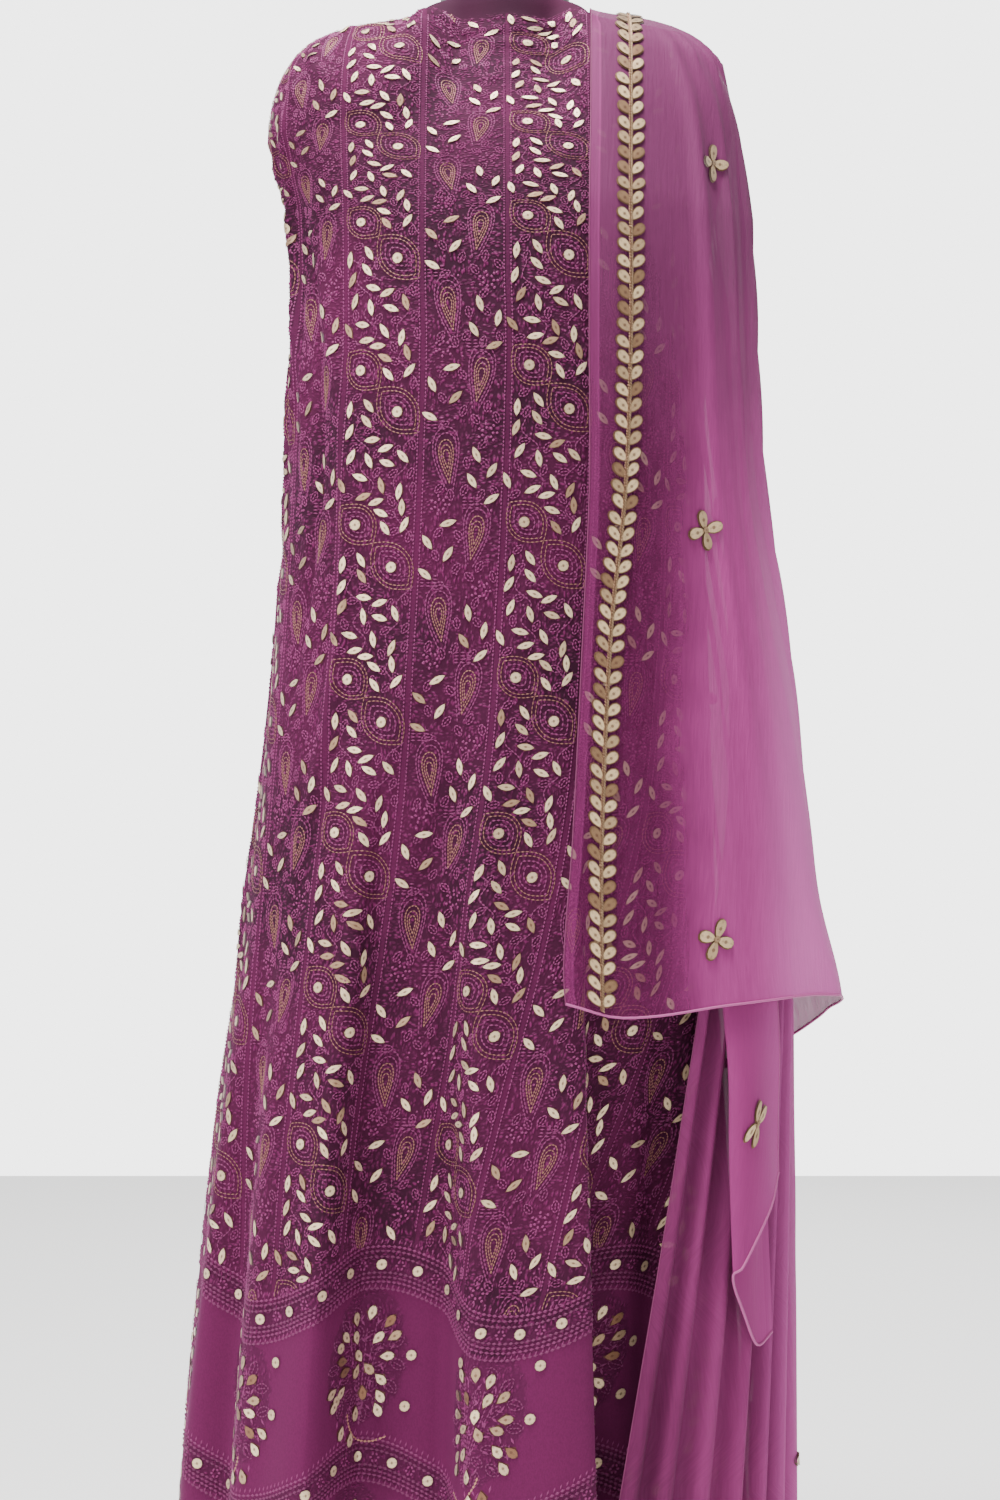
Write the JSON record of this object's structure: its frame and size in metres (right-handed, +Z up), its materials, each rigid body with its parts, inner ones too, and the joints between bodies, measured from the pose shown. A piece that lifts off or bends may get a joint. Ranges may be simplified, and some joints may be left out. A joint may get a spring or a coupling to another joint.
{
  "type": "salwar kameez suit on a dress form",
  "caption": "Embroidered kameez with a plain salwar and a sheer dupatta over one shoulder, shown on a limbless dress form with a round stand.",
  "frame": {"origin": "centre of the stand's flat underside, on the floor", "axes": "+Z up along the stand's pole, the front of the suit faces -Y, the dupatta's shoulder is on +X"},
  "size_m": [0.5434, 0.3819, 1.462],
  "materials": {
    "embroidered_georgette": "matt georgette with raised embroidery",
    "salwar_cloth": "soft matt cloth",
    "dupatta_chiffon": "sheer crinkled chiffon",
    "gota_gold": "woven metallic ribbon, satin",
    "form_black": "smooth stretched cover",
    "stand_black": "satin"
  },
  "bodies": {
    "root": {"kameez_front": "embroidered_georgette", "kameez_back": "embroidered_georgette", "salwar_waistband": "salwar_cloth", "salwar_left_leg": "salwar_cloth", "salwar_left_cuff": "salwar_cloth", "salwar_right_leg": "salwar_cloth", "salwar_right_cuff": "salwar_cloth", "dupatta_front": "dupatta_chiffon", "dupatta_back": "dupatta_chiffon", "dupatta_corner": "dupatta_chiffon", "gota_lace_front": "gota_gold", "gota_lace_back": "gota_gold", "gota_flower_01": "gota_gold", "gota_flower_02": "gota_gold", "gota_flower_03": "gota_gold", "gota_flower_04": "gota_gold", "gota_flower_05": "gota_gold", "form_torso": "form_black", "form_neck": "form_black", "stand_base": "stand_black", "stand_pole": "stand_black"}
  },
  "joints": []
}
